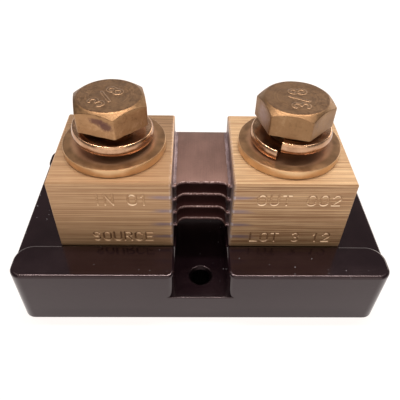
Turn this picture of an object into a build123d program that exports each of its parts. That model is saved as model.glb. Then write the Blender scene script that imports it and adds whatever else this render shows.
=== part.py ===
from build123d import *
import math
import os

# Battery monitor shunt: two brass terminal blocks on an insulating base, joined
# by a stack of resistance plates. Millimetres. +X runs along the base from the
# left block to the right block, -Y is the front, +Z is up. The origin is the
# centre of the base's underside.

INCH = 25.4

# Base moulding
base_length = 3.25 * INCH
base_depth = 1.75 * INCH
base_corner_radius = 2.8
seat_height = 14.3
strip_rise = 1.1
strip_back_corner_radius = 4.0
strip_end_flat = 1.0
strip_edge_radius = 0.7
seat_edge_radius = 0.4
channel_ledge = 0.6
channel_floor_height = 7.9
channel_mouth_radius = 2.0

# Mounting holes in the channel floor
mounting_hole_edge_distance = 0.25 * INCH
mounting_hole_diameter = 4.4
mounting_hole_mouth_chamfer = 0.7

# Terminal blocks
bolt_spacing = 1.5 * INCH
block_width = 1.0 * INCH
block_depth = 1.0 * INCH
block_height = 19.0
block_edge_chamfer = 0.3
block_pocket_clearance = 0.6

# Resistance plates and the solder that holds them in the block kerfs
plate_thickness = 0.8
top_plate_drop = 3.7
bottom_plate_rise = 3.54
plate_depth = 19.6
plate_rear_offset = 0.6
plate_front_trims = [1.1, 1.6, 1.7, 2.2]
trim_margin = 0.9
trim_run_in = 1.6
trim_corner_radius = 1.0
kerf_depth = 4.0
plate_end_gap = 0.2
solder_gap = 0.2
solder_fillet = 0.8

# Terminal bolts, 3/8-16 UNC, with a flat washer and a spring lock washer
bolt_shank_diameter = 9.4
bolt_length = 0.75 * INCH
bolt_flats = 9 / 16 * INCH
bolt_head_height = 5.75
bolt_head_circle_margin = 1.1
bolt_head_chamfer_angle = 30
bolt_washer_face_margin = 0.7
bolt_washer_face_height = 0.4
bolt_tip_chamfer = 0.8
bolt_running_clearance = 0.05
bolt_hole_countersink = 0.6
head_turns = {"left": -78.4, "right": -75.7}

flat_washer_diameter = 22.2
flat_washer_clearance = 0.45
flat_washer_thickness = 2.0
flat_washer_edge_radius = 0.4

lock_washer_wire_width = 3.75
lock_washer_clearance = 0.2
lock_washer_thickness = 2.39
lock_washer_split_angle = 8
lock_washer_seat_clearance = 0.02
lock_washer_turns = {"left": 110.0, "right": -118.0}

# Small machine screws, 8-32 UNC
screw_diameter = 4.1
screw_head_height = 2.8
screw_head_edge_radius = 0.9
screw_slot_width = 1.1
screw_slot_depth = 1.3
screw_running_clearance = 0.05
screw_tip_chamfer = 0.4
tapped_hole_extra_depth = 0.6
sense_screw_length = 0.25 * INCH
sense_screw_head_diameter = 8.0
sense_screw_height = 9.5
hold_down_length = 0.5 * INCH
hold_down_head_diameter = 7.0
hold_down_edge_distance = 4.2
hold_down_web = 6.3
hold_down_recess_clearance = 0.4
hold_down_hole_clearance = 0.35

small_washer_diameter = 7.4
small_washer_clearance = 0.15
small_washer_thickness = 0.9
small_washer_gap = 0.8

# Sizes that follow from the ones above
SIDES = {"left": -1, "right": 1}
ENDS = {"front": -1, "rear": 1}
plate_count = len(plate_front_trims)
strip_top = seat_height + strip_rise
pocket_half_depth = block_depth / 2 + block_pocket_clearance
strip_depth = base_depth / 2 - pocket_half_depth
back_corner_radius = min(
    strip_back_corner_radius, strip_depth - base_corner_radius - strip_end_flat
)
bolt_x = bolt_spacing / 2
inner_face_x = bolt_x - block_width / 2
channel_width = 2 * (inner_face_x - channel_ledge)
mounting_hole_y = base_depth / 2 - mounting_hole_edge_distance
block_top = seat_height + block_height
flat_washer_top = block_top + flat_washer_thickness
lock_washer_free_height = 2 * lock_washer_thickness
bolt_head_underside = flat_washer_top + lock_washer_free_height + 2 * lock_washer_seat_clearance
bolt_hole_diameter = bolt_shank_diameter + 2 * bolt_running_clearance
bolt_head_circle = bolt_flats - bolt_head_circle_margin
bolt_washer_face_diameter = bolt_flats - bolt_washer_face_margin
flat_washer_bore = bolt_shank_diameter + 2 * flat_washer_clearance
lock_washer_bore = bolt_shank_diameter + 2 * lock_washer_clearance
lock_washer_diameter = lock_washer_bore + 2 * lock_washer_wire_width
screw_hole_diameter = screw_diameter + 2 * screw_running_clearance
small_washer_bore = screw_diameter + 2 * small_washer_clearance
sense_screw_z = seat_height + sense_screw_height
hold_down_y = block_depth / 2 - hold_down_edge_distance
hold_down_recess_depth = seat_height - hold_down_web
hold_down_tip = hold_down_recess_depth - small_washer_thickness + hold_down_length
hold_down_recess_diameter = small_washer_diameter + 2 * hold_down_recess_clearance
hold_down_hole_diameter = screw_diameter + 2 * hold_down_hole_clearance
kerf_width = plate_thickness + 2 * solder_gap
plate_pitch = (block_height - top_plate_drop - bottom_plate_rise) / (plate_count - 1)


def plate_level(index):
    """Height of the middle of a plate, counted from the top one down."""
    return block_top - top_plate_drop - index * plate_pitch


def seat_edge_cutter(side):
    """Rounds off the seat's edge along one end of the base."""
    length = base_depth - 2 * base_corner_radius
    corner = Box(seat_edge_radius, length, seat_edge_radius)
    rod = Rot(90, 0, 0) * Cylinder(seat_edge_radius, length)
    offset = seat_edge_radius / 2
    cutter = Pos(side * offset, 0, offset) * corner - rod
    axis_x = side * (base_length / 2 - seat_edge_radius)
    return Pos(axis_x, 0, seat_height - seat_edge_radius) * cutter


def base_blank():
    """Rounded slab with a raised strip along its front and its rear."""
    outline = RectangleRounded(base_length, base_depth, base_corner_radius)
    blank = extrude(outline, seat_height)
    for side in SIDES.values():
        blank -= seat_edge_cutter(side)
    strip_foot = seat_height - seat_edge_radius
    for end in ENDS.values():
        strip = Rectangle(base_length, strip_depth)
        back_corners = strip.vertices().sort_by(Axis.Y)[:2]
        strip = fillet(back_corners, back_corner_radius)
        strip = Pos(0, pocket_half_depth + strip_depth / 2) * strip
        if end < 0:
            strip = mirror(strip, Plane.XZ)
        blank += extrude(Pos(0, 0, strip_foot) * (outline & strip), strip_top - strip_foot)
    return blank


def countersink(hole_diameter, chamfer_size):
    """A 45 degree cutter for a hole's mouth, with its wide end on the XY plane."""
    radius = hole_diameter / 2
    return Pos(0, 0, -chamfer_size / 2) * Cone(radius, radius + chamfer_size, chamfer_size)


def channel():
    """The air channel that runs through the base from front to rear."""
    height = strip_top - channel_floor_height
    middle = channel_floor_height + height / 2
    return Pos(0, 0, middle) * Box(channel_width, base_depth, height)


def hold_down_places(side):
    """Centres of the two screws under one block, on the underside."""
    return [(side * bolt_x, end * hold_down_y) for end in ENDS.values()]


def build_base():
    base = base_blank() - channel()
    mouths = base.edges().filter_by(Axis.Z).filter_by(
        lambda edge: abs(abs(edge.center().X) - channel_width / 2) < 0.01
        and abs(abs(edge.center().Y) - base_depth / 2) < 0.01
    )
    base = fillet(mouths, channel_mouth_radius)
    strip_edges = base.edges().filter_by_position(Axis.Z, strip_top - 0.01, strip_top + 0.01)
    base = fillet(strip_edges, strip_edge_radius)
    for end in ENDS.values():
        hole = Cylinder(mounting_hole_diameter / 2, channel_floor_height)
        base -= Pos(0, end * mounting_hole_y, channel_floor_height / 2) * hole
        mouth = countersink(mounting_hole_diameter, mounting_hole_mouth_chamfer)
        base -= Pos(0, end * mounting_hole_y, channel_floor_height) * mouth
    for side in SIDES.values():
        for x, y in hold_down_places(side):
            hole = Cylinder(hold_down_hole_diameter / 2, seat_height)
            base -= Pos(x, y, seat_height / 2) * hole
            recess = Cylinder(hold_down_recess_diameter / 2, hold_down_recess_depth)
            base -= Pos(x, y, hold_down_recess_depth / 2) * recess
    return base


def kerf(side, index):
    """The slot that one plate's end is soldered into."""
    x = side * (inner_face_x + kerf_depth / 2)
    return Pos(x, 0, plate_level(index)) * Box(kerf_depth, block_depth, kerf_width)


def build_block(side):
    middle = seat_height + block_height / 2
    block = Pos(side * bolt_x, 0, middle) * Box(block_width, block_depth, block_height)
    block = chamfer(block.edges(), block_edge_chamfer)
    for index in range(plate_count):
        block -= kerf(side, index)
    block -= Pos(side * bolt_x, 0, middle) * Cylinder(bolt_hole_diameter / 2, block_height)
    mouth = countersink(bolt_hole_diameter, bolt_hole_countersink)
    block -= Pos(side * bolt_x, 0, block_top) * mouth
    tapped_height = hold_down_tip + tapped_hole_extra_depth - seat_height
    for x, y in hold_down_places(side):
        hole = Cylinder(screw_hole_diameter / 2, tapped_height)
        block -= Pos(x, y, seat_height + tapped_height / 2) * hole
    sense_depth = sense_screw_length - small_washer_thickness + tapped_hole_extra_depth
    hole = Rot(90, 0, 0) * Cylinder(screw_hole_diameter / 2, sense_depth)
    block -= Pos(side * bolt_x, block_depth / 2 - sense_depth / 2, sense_screw_z) * hole
    return block


def build_plate(index):
    """One plate, with its front edge trimmed back between the blocks."""
    half_length = inner_face_x + kerf_depth - plate_end_gap
    front = plate_rear_offset - plate_depth / 2
    rear = plate_rear_offset + plate_depth / 2
    trim = plate_front_trims[index]
    trim_start = inner_face_x - trim_margin
    trim_floor = trim_start - trim_run_in
    outline = Polyline(
        (-half_length, rear),
        (-half_length, front),
        (-trim_start, front),
        (-trim_floor, front + trim),
        (trim_floor, front + trim),
        (trim_start, front),
        (half_length, front),
        (half_length, rear),
        close=True,
    )
    face = make_face(outline)
    corners = [v for v in face.vertices() if abs(v.X) < inner_face_x]
    face = fillet(corners, trim_corner_radius)
    bottom = plate_level(index) - plate_thickness / 2
    return extrude(Pos(0, 0, bottom) * face, plate_thickness)


def solder_fillets(side, index):
    """Triangular fillets above and below a plate, along the block's face."""
    front = plate_rear_offset - plate_depth / 2
    level = plate_level(index)
    reach = inner_face_x - solder_fillet
    half = plate_thickness / 2
    profile = Polyline(
        (inner_face_x, level + half + solder_fillet),
        (inner_face_x, level - half - solder_fillet),
        (reach, level - half),
        (reach, level + half),
        close=True,
    )
    face = Pos(0, front + plate_depth, 0) * (Plane.XZ * make_face(profile))
    prism = extrude(face, plate_depth, dir=(0, -1, 0))
    if side < 0:
        prism = mirror(prism, Plane.YZ)
    return prism


def build_solder(side, plates):
    joints = []
    for index, plate in enumerate(plates):
        joint = kerf(side, index) + solder_fillets(side, index)
        joints.append(joint - plate)
    return joints


def build_flat_washer(side):
    ring = Cylinder(flat_washer_diameter / 2, flat_washer_thickness)
    rims = ring.edges().filter_by(GeomType.CIRCLE)
    ring = fillet(rims, flat_washer_edge_radius)
    ring -= Cylinder(flat_washer_bore / 2, flat_washer_thickness)
    return Pos(side * bolt_x, 0, block_top + flat_washer_thickness / 2) * ring


def build_lock_washer(name, side):
    """One open turn of square wire that climbs by its own thickness."""
    sweep_angle = 360 - lock_washer_split_angle
    radius = (lock_washer_diameter + lock_washer_bore) / 4
    width = (lock_washer_diameter - lock_washer_bore) / 2
    rise = lock_washer_thickness * sweep_angle / 360
    path = Helix(lock_washer_thickness, rise, radius, lefthand=True)
    section = Plane.XZ * (Pos(radius, 0) * Rectangle(width, lock_washer_thickness))
    coil = sweep(section, path, is_frenet=True)
    bottom = flat_washer_top + lock_washer_seat_clearance + lock_washer_thickness / 2
    place = Pos(side * bolt_x, 0, bottom) * Rot(0, 0, lock_washer_turns[name])
    return place * coil


def build_bolt(name, side):
    """Hexagon head with a chamfered top, a washer face and a plain shank."""
    circumradius = bolt_flats / math.sqrt(3)
    hexagon = Rot(0, 0, head_turns[name]) * RegularPolygon(circumradius, 6)
    head = extrude(hexagon, bolt_head_height)
    chamfer_slope = math.tan(math.radians(bolt_head_chamfer_angle))
    outside = bolt_flats
    chamfer_foot = bolt_head_height - (outside - bolt_head_circle / 2) * chamfer_slope
    limit = Polyline(
        (0, 0),
        (bolt_washer_face_diameter / 2, 0),
        (bolt_washer_face_diameter / 2, bolt_washer_face_height),
        (outside, bolt_washer_face_height),
        (outside, chamfer_foot),
        (bolt_head_circle / 2, bolt_head_height),
        (0, bolt_head_height),
        close=True,
    )
    head &= revolve(Plane.XZ * make_face(limit), Axis.Z)
    shank = Pos(0, 0, -bolt_length / 2) * Cylinder(bolt_shank_diameter / 2, bolt_length)
    shank = chamfer(shank.edges().sort_by(Axis.Z)[0], bolt_tip_chamfer)
    return Pos(side * bolt_x, 0, bolt_head_underside) * (head + shank)


def slotted_screw(length, head_diameter):
    """Round-edged screw, head up, with the head's underside on the XY plane."""
    head = Pos(0, 0, screw_head_height / 2) * Cylinder(head_diameter / 2, screw_head_height)
    head = fillet(head.edges().sort_by(Axis.Z)[-1], screw_head_edge_radius)
    slot = Box(head_diameter, screw_slot_width, screw_slot_depth)
    head -= Pos(0, 0, screw_head_height - screw_slot_depth / 2) * slot
    shank = Pos(0, 0, -length / 2) * Cylinder(screw_diameter / 2, length)
    shank = chamfer(shank.edges().sort_by(Axis.Z)[0], screw_tip_chamfer)
    return head + shank


def small_lock_washer():
    """Flattened split washer that lies on the XY plane."""
    ring = Cylinder(small_washer_diameter / 2, small_washer_thickness)
    ring -= Cylinder(small_washer_bore / 2, small_washer_thickness)
    split = Box(small_washer_diameter, small_washer_gap, small_washer_thickness)
    ring -= Pos(small_washer_diameter / 2, 0, 0) * split
    return Pos(0, 0, small_washer_thickness / 2) * ring


def build_sense_hardware(side):
    """Sense lead screw and its lock washer on the block's rear face."""
    outwards = Pos(side * bolt_x, block_depth / 2, sense_screw_z) * Rot(-90, 0, 0)
    washer = outwards * small_lock_washer()
    screw = slotted_screw(sense_screw_length, sense_screw_head_diameter)
    return outwards * Pos(0, 0, small_washer_thickness) * screw, washer


def build_hold_down_hardware(x, y):
    """Screw and lock washer that hold a block down from under the base."""
    downwards = Pos(x, y, hold_down_recess_depth) * Rot(180, 0, 0)
    washer = downwards * small_lock_washer()
    screw = slotted_screw(hold_down_length, hold_down_head_diameter)
    return downwards * Pos(0, 0, small_washer_thickness) * screw, washer


def write(name, solids):
    """Write one node, which may hold several separate solids."""
    shape = Compound(children=list(solids)) if isinstance(solids, list) else solids
    export_step(shape, os.path.join("parts", name + ".step"))


os.makedirs("parts", exist_ok=True)
write("base", build_base())
plates = [build_plate(index) for index in range(plate_count)]
for index, plate in enumerate(plates):
    write(f"element_plate_{index + 1}", plate)
for side_name, side in SIDES.items():
    write(f"terminal_block_{side_name}", build_block(side))
    write(f"solder_joints_{side_name}", build_solder(side, plates))
    write(f"flat_washer_{side_name}", build_flat_washer(side))
    write(f"lock_washer_{side_name}", build_lock_washer(side_name, side))
    write(f"terminal_bolt_{side_name}", build_bolt(side_name, side))
    sense_screw, sense_washer = build_sense_hardware(side)
    write(f"sense_screw_{side_name}", sense_screw)
    write(f"sense_washer_{side_name}", sense_washer)
    for end_name, (x, y) in zip(ENDS, hold_down_places(side)):
        screw, washer = build_hold_down_hardware(x, y)
        write(f"hold_down_screw_{side_name}_{end_name}", screw)
        write(f"hold_down_washer_{side_name}_{end_name}", washer)
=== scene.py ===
import math

import bmesh
import bpy
from mathutils import Matrix, Vector, noise


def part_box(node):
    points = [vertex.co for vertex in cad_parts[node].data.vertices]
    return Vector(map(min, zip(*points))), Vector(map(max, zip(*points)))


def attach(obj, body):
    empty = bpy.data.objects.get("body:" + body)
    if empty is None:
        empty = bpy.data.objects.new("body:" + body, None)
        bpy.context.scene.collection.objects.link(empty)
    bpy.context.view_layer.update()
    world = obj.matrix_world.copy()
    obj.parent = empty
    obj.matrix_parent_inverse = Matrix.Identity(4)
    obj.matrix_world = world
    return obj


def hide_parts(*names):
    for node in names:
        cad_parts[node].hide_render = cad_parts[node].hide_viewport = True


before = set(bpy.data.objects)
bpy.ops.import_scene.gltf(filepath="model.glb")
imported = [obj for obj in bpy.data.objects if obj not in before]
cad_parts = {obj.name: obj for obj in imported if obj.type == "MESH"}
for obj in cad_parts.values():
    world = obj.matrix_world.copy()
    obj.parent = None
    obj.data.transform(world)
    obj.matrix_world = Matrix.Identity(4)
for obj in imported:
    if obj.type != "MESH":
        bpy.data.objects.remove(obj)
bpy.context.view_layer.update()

# Battery monitor shunt. Metres in the scene; sizes below are in millimetres
# and are multiplied by MM where a mesh is made. +X runs from the left block to
# the right one, -Y is the front, +Z is up.

MM = 0.001
SIDES = {"left": -1, "right": 1}
ENDS = {"front": -1, "rear": 1}
PLATES = 4
# Points nearer than MERGE become one, and points within TOUCH of a face lie on it
MERGE = 0.0005
TOUCH = 0.004


def box_of(node):
    """The low and high corners of a CAD node's box, in millimetres."""
    return [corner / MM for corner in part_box(node)]


block_low, block_high = box_of("terminal_block_right")
washer_low, washer_high = box_of("flat_washer_right")
spring_low, spring_high = box_of("lock_washer_right")
bolt_low, bolt_high = box_of("terminal_bolt_right")
top_plate_low, top_plate_high = box_of("element_plate_1")
last_plate_low, last_plate_high = box_of("element_plate_4")
bolt_x = (block_low.x + block_high.x) / 2
inner_x = block_low.x
block_front = block_low.y
block_rear = block_high.y
top_plate_level = (top_plate_low.z + top_plate_high.z) / 2
last_plate_level = (last_plate_low.z + last_plate_high.z) / 2
plate_pitch = (top_plate_level - last_plate_level) / (PLATES - 1)
plate_thickness = top_plate_high.z - top_plate_low.z


# ---------------------------------------------------------------- shader maths


def operator_for(operation, swapped=False):
    """A method that adds the Math node of one operation."""

    def method(self, *others):
        values = (*others, self) if swapped else (self, *others)
        return self.finish.maths(operation, *values)

    return method


class Value:
    """A shader output that takes part in sums. Each sum adds its Math node."""

    def __init__(self, finish, socket):
        self.finish = finish
        self.socket = socket

    __add__ = __radd__ = operator_for("ADD")
    __mul__ = __rmul__ = operator_for("MULTIPLY")
    __sub__ = operator_for("SUBTRACT")
    __rsub__ = operator_for("SUBTRACT", swapped=True)
    __truediv__ = operator_for("DIVIDE")
    __pow__ = operator_for("POWER")
    __abs__ = operator_for("ABSOLUTE")


class Finish:
    """One material: a Principled shader and the nodes that feed it."""

    def __init__(self, name, **constants):
        self.material = bpy.data.materials.new(name)
        self.material.use_nodes = True
        self.tree = self.material.node_tree
        self.tree.nodes.clear()
        output = self.tree.nodes.new("ShaderNodeOutputMaterial")
        self.shader = self.tree.nodes.new("ShaderNodeBsdfPrincipled")
        self.tree.links.new(self.shader.outputs["BSDF"], output.inputs["Surface"])
        self.place = self.add("ShaderNodeTexCoord", output="Object")
        for socket, value in constants.items():
            self.feed(socket.replace("_", " "), value)

    def fill(self, socket, value):
        """Links a value to a socket, or sets it there. A colour is set opaque."""
        if isinstance(value, Value):
            self.tree.links.new(value.socket, socket)
        elif socket.type == "RGBA":
            socket.default_value = (*value, 1)
        else:
            socket.default_value = value

    def feed(self, socket, value):
        self.fill(self.shader.inputs[socket], value)

    def add(self, kind, settings=None, sockets=None, output=0):
        """Any node: its settings first, then its sockets."""
        node = self.tree.nodes.new(kind)
        for name, value in (settings or {}).items():
            setattr(node, name, value)
        for name, value in (sockets or {}).items():
            self.fill(node.inputs[name], value)
        return Value(self, node.outputs[output])

    def maths(self, operation, *values):
        return self.add("ShaderNodeMath", {"operation": operation}, dict(enumerate(values)))

    def step(self, value, low, high):
        """0 below low and 1 above high, with a smooth change between; low may be above high."""
        sockets = {"Value": value, "From Min": low, "From Max": high}
        return self.add("ShaderNodeMapRange", {"interpolation_type": "SMOOTHSTEP"}, sockets)

    def mix(self, first, second, factor):
        """A colour part of the way from the first to the second."""
        sockets = {"Factor": factor, 6: first, 7: second}
        return self.add("ShaderNodeMix", {"data_type": "RGBA"}, sockets, output=2)

    def tones(self, value, *colours):
        """A colour that runs through the given ones, evenly spaced, as value goes from 0 to 1."""
        colour = colours[0]
        for index, following in enumerate(colours[1:]):
            share = 1 / (len(colours) - 1)
            part = self.step(value, index * share, (index + 1) * share)
            colour = self.mix(colour, following, part)
        return colour

    def mapped(self, size, centre=(0, 0, 0)):
        """The object's coordinates from a centre, counted in sizes in millimetres."""
        sockets = {
            "Vector": self.place,
            "Location": [c * MM for c in centre],
            "Scale": [s * MM for s in size],
        }
        return self.add("ShaderNodeMapping", {"vector_type": "TEXTURE"}, sockets)

    def axes(self, vector):
        """The three parts of a vector."""
        node = self.add("ShaderNodeSeparateXYZ", None, {0: vector}).socket.node
        return [Value(self, output) for output in node.outputs]

    def point(self, centre=(0, 0, 0)):
        """The object's coordinates from a centre, in millimetres."""
        return self.axes(self.mapped((1, 1, 1), centre))

    def facing(self):
        """The direction the surface faces."""
        return self.axes(self.add("ShaderNodeTexCoord", output="Normal"))

    def attribute(self, name):
        """A number that the mesh holds at each of its points."""
        return self.add("ShaderNodeAttribute", {"attribute_name": name}, output="Fac")

    def grain(self, size, detail=2.0):
        """Noise of about 0 to 1 whose spots have the given size in millimetres."""
        if not isinstance(size, tuple):
            size = (size, size, size)
        sockets = {"Vector": self.mapped(size), "Scale": 1.0, "Detail": detail}
        return self.step(self.add("ShaderNodeTexNoise", None, sockets), 0.22, 0.78)

    def specks(self, spacing, size):
        """Small round dots, at most one in each cell of the given spacing."""
        sockets = {"Vector": self.mapped((spacing, spacing, spacing)), "Scale": 1.0}
        distance = self.add("ShaderNodeTexVoronoi", None, sockets)
        return self.step(distance, size / spacing, 0.6 * size / spacing)

    def ring(self, centre):
        """Distance from an upright axis, in millimetres."""
        x, y, _ = self.point(centre)
        return (x * x + y * y) ** 0.5

    def grooves(self, value, spacing):
        """Noise that changes along one value only."""
        sockets = {"W": value / spacing, "Scale": 1.0, "Detail": 2.0}
        return self.add("ShaderNodeTexNoise", {"noise_dimensions": "1D"}, sockets)

    def done(self, colour, roughness, relief, depth):
        """Feeds what every finish has; the relief's depth is in millimetres."""
        self.feed("Base Color", colour)
        self.feed("Roughness", roughness)
        sockets = {"Height": relief, "Distance": depth * MM}
        self.feed("Normal", self.add("ShaderNodeBump", None, sockets))
        return self


# ------------------------------------------------------------------- finishes

# Colours are linear red, green and blue. Those in a list run from dark to pale.
BRASS = [(0.31, 0.165, 0.08), (0.45, 0.27, 0.145), (0.6, 0.4, 0.225)]
# Painted light for the right block's top, then painted shade for the left one's
BRASS_TOP_LIT = [(0.5, 0.34, 0.19), (0.85, 0.66, 0.42)]
BRASS_TOP_SHADE = [(0.12, 0.065, 0.035), (0.29, 0.18, 0.1)]
BRASS_SCRATCH = (0.2, 0.1, 0.045)
BRASS_BEVEL_SHADE = (0.26, 0.145, 0.07)
SOLDER_SMEAR = (0.25, 0.185, 0.21)
SOLDER_RIM = (0.55, 0.42, 0.36)
SOLDER_DOT = (0.5, 0.42, 0.43)
SOLDERED_FACE = (0.26, 0.2, 0.2)
STAMP_SHADE = (0.13, 0.065, 0.03)
STAMP_SHINE = (1.0, 0.78, 0.55)
WASHER_TOP_SHADE = [(0.14, 0.072, 0.034), (0.29, 0.162, 0.078)]
WASHER_RIM = [(0.56, 0.35, 0.18), (0.74, 0.5, 0.28)]
WASHER_SPRING_REFLECTION = (0.6, 0.33, 0.2)
SPRING_BRONZE = [(0.4, 0.225, 0.13), (0.58, 0.36, 0.225)]
BOLT_FORGED = [(0.17, 0.09, 0.042), (0.3, 0.172, 0.085), (0.43, 0.27, 0.148)]
BOLT_FACED = [(0.13, 0.068, 0.035), (0.27, 0.16, 0.085)]
BOLT_BORDER = (0.1, 0.05, 0.028)
BOLT_SLOPE_SHADE = (0.14, 0.08, 0.042)
BOLT_MARK_HIGHLIGHT = (0.42, 0.28, 0.18)
ALLOY = [(0.1, 0.053, 0.043), (0.165, 0.092, 0.076)]
ALLOY_LOWER_TOPS_SHADE = (0.085, 0.026, 0.026)
ALLOY_BARE_AND_HIGHLIGHT = [(0.13, 0.07, 0.06), (0.38, 0.25, 0.23), (0.75, 0.58, 0.55)]
ALLOY_SHADE_BELOW_BURR = (0.09, 0.04, 0.04)
SOLDER = [(0.12, 0.08, 0.085), (0.25, 0.18, 0.19), (0.42, 0.32, 0.34)]
PHENOLIC = [(0.004, 0.0018, 0.0028), (0.008, 0.0038, 0.0052)]
PHENOLIC_TINT = (1.0, 0.78, 0.81)
DUST = (0.3, 0.3, 0.33)
SCREW_BRASS = [(0.4, 0.25, 0.1), (0.68, 0.48, 0.22)]


def brushed_brass():
    """Sawn and brushed bar brass, with solder wiped over the kerfs."""
    finish = Finish("brushed_brass", Metallic=0.58)
    x, y, z = finish.point()
    facing = finish.facing()
    end_face = finish.step(abs(facing[0]), 0.6, 0.8)

    def both_ways(length, width, detail):
        """Streaks along X, and along Y on the end faces."""
        lengthways = finish.grain((length, width, width), detail)
        across = finish.grain((width, length, width), detail)
        return lengthways + (across - lengthways) * end_face

    broad = both_ways(60, 0.5, 1.0)
    streaks = both_ways(34, 0.14, 0.0)
    hairs = both_ways(9, 0.08, 1.0)
    patches = finish.grain(5.0)
    tone = broad * 0.03 + streaks * 0.52 + hairs * 0.35 + patches * 0.1

    # The right block is brushed more roughly than the left one, save on its end faces
    right_bar = finish.step(x, -1.0, 1.0)
    strong = right_bar * (1 - 0.75 * end_face)
    contrast = 0.75 + 0.75 * strong
    tone = 0.5 + (finish.step(tone, 0.15, 0.85) - 0.5) * contrast
    scratches = finish.step(both_ways(24, 0.12, 0.0), 0.6, 0.8)
    colour = finish.mix(finish.tones(tone, *BRASS), BRASS_SCRATCH, scratches * (0.12 + 0.48 * strong))

    # The right block's top is painted paler as light, and the left one's darker as painted shade, most
    # of all at its rear
    upward = finish.step(facing[2], 0.7, 0.9)
    colour = finish.mix(colour, finish.tones(tone, *BRASS_TOP_LIT), upward * right_bar * 0.25)
    top_shade = (1 - right_bar) * upward * (0.3 + 0.5 * finish.step(y, -12.0, 9.0))
    colour = finish.mix(colour, finish.tones(tone, *BRASS_TOP_SHADE), top_shade)
    # Chamfered edges are painted darker as shade
    bevelled = finish.step(finish.maths("MINIMUM", abs(facing[1]), abs(facing[2])), 0.4, 0.6)
    colour = finish.mix(colour, BRASS_BEVEL_SHADE, bevelled * 0.6)

    # Solder smeared away from the nearest kerf, with a paler rim and a dot at its mouth
    from_edge = abs(x) - inner_x
    level = (top_plate_level - z) / plate_pitch
    nearest = finish.maths("MINIMUM", finish.maths("MAXIMUM", level, 0.0), PLATES - 1.0)
    from_kerf = abs(level - finish.maths("ROUND", nearest)) * plate_pitch
    wisps = finish.grain((2.6, 0.3, 0.3), 3.0)
    length = 4.2 + 3.4 * finish.grain((40, 40, 2.0))
    smear = finish.step(from_kerf + wisps * 0.55, 1.05, 0.4) * finish.step(from_edge / length, 1.0, 0.35)
    colour = finish.mix(colour, SOLDER_SMEAR, smear * (0.55 + 0.45 * wisps))
    rim = finish.step(from_edge, 0.75, 0.2) * finish.step(wisps, 0.2, 0.9)
    colour = finish.mix(colour, SOLDER_RIM, rim * 0.55)
    dots = finish.step(from_edge, 0.7, 0.3) * finish.step(from_kerf, 0.55, 0.25)
    colour = finish.mix(colour, SOLDER_DOT, dots)
    inner_face = end_face * finish.step(from_edge, 0.15, 0.05)
    colour = finish.mix(colour, SOLDERED_FACE, inner_face * (0.5 + 0.4 * wisps))

    # Painted shade darkens the deeper letters' grooves
    colour = finish.mix(colour, STAMP_SHADE, finish.step(finish.attribute("stamp"), 0.1, 0.8) * 0.85)
    # Painted highlight along the letters' lit flanks
    colour = finish.mix(colour, STAMP_SHINE, finish.step(finish.attribute("shine"), 0.1, 0.7) * 0.85)
    roughness = 0.54 - 0.1 * tone - 0.14 * smear
    relief = broad * 0.1 + streaks * 0.45 + hairs * 0.45
    return finish.done(colour, roughness, relief, 0.01)


def turned_brass(centre):
    """Turned and lightly tarnished washer brass, with a painted reddish reflection of the spring washer
    close to it, and its top painted darker than its rim as shade.
    """
    finish = Finish("turned_brass", Metallic=0.8)
    radius = finish.ring(centre)
    rings = finish.grooves(radius, 0.09)
    tarnish = finish.grain(2.6, 3.0)
    spots = finish.grain(0.5, 2.0)
    tone = tarnish * 0.55 + rings * 0.35 + spots * 0.1
    # Painted reflection of the spring washer, reddish, close to it
    spring_reflection = finish.step(radius, 9.8, 8.6) * 0.5
    flat = finish.mix(finish.tones(tone, *WASHER_TOP_SHADE), WASHER_SPRING_REFLECTION, spring_reflection)
    # The top faces are painted darker than the rim as shade
    upward = finish.step(finish.facing()[2], 0.45, 0.9)
    colour = finish.mix(finish.tones(tone, *WASHER_RIM), flat, upward)
    roughness = 0.3 + 0.08 * tarnish + 0.04 * spots
    relief = rings * 0.7 + spots * 0.3
    return finish.done(colour, roughness, relief, 0.0015)


def spring_bronze(centre):
    """Drawn and polished spring wire."""
    finish = Finish("spring_bronze", Metallic=1.0)
    lines = finish.grooves(finish.ring(centre), 0.12)
    cloud = finish.grain(1.8, 3.0)
    colour = finish.tones(cloud * 0.7 + lines * 0.3, *SPRING_BRONZE)
    return finish.done(colour, 0.2 + 0.08 * cloud, lines * 0.6 + cloud * 0.4, 0.003)


def tarnished_bronze(name, centre, stains, paleness):
    """Forged bolt bronze that has gone brown, faced on top, with a stain or two. A stain is
    a centre, a size, a colour and a strength."""
    finish = Finish(name, Metallic=1.0)
    cloud = finish.grain(3.4, 4.0)
    mottle = finish.grain(0.55, 3.0)
    grit = finish.grain(0.16, 2.0)
    upward = finish.facing()[2]
    radius = finish.ring(centre)
    turned = finish.grooves(radius + mottle * 0.12, 0.3)
    tone = cloud * 0.5 + mottle * 0.35 + grit * 0.15
    colour = finish.tones(tone, *([part * paleness for part in shade] for shade in BOLT_FORGED))
    top = finish.step(upward, 0.93, 0.98)
    faced = finish.tones(tone * 0.6 + turned * 0.4, *BOLT_FACED)
    border = finish.step(radius, 5.9, 6.5) * 0.35
    colour = finish.mix(colour, finish.mix(faced, BOLT_BORDER, border), top)
    # The chamfer is painted darker as shade
    sloped = finish.step(upward, 0.35, 0.6) * (1 - top)
    colour = finish.mix(colour, BOLT_SLOPE_SHADE, sloped * 0.7)
    for place, size, tint, strength in stains:
        sockets = {0: finish.mapped(size, place)}
        distance = finish.add("ShaderNodeVectorMath", {"operation": "LENGTH"}, sockets, output="Value")
        patch = finish.step(distance + 0.3 * mottle, 1.25, 0.6)
        colour = finish.mix(colour, tint, patch * strength)
    # The raised marks' sloping edges are painted pale as a highlight
    stamp = finish.attribute("stamp")
    rim = finish.step(stamp * (1 - stamp), 0.05, 0.2)
    colour = finish.mix(colour, BOLT_MARK_HIGHLIGHT, rim * 0.5)
    roughness = 0.33 + 0.16 * mottle + 0.06 * grit
    relief = cloud * 0.4 + mottle * 0.35 + grit * 0.25 + turned * top * 0.15
    return finish.done(colour, roughness, relief, 0.02)


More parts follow.
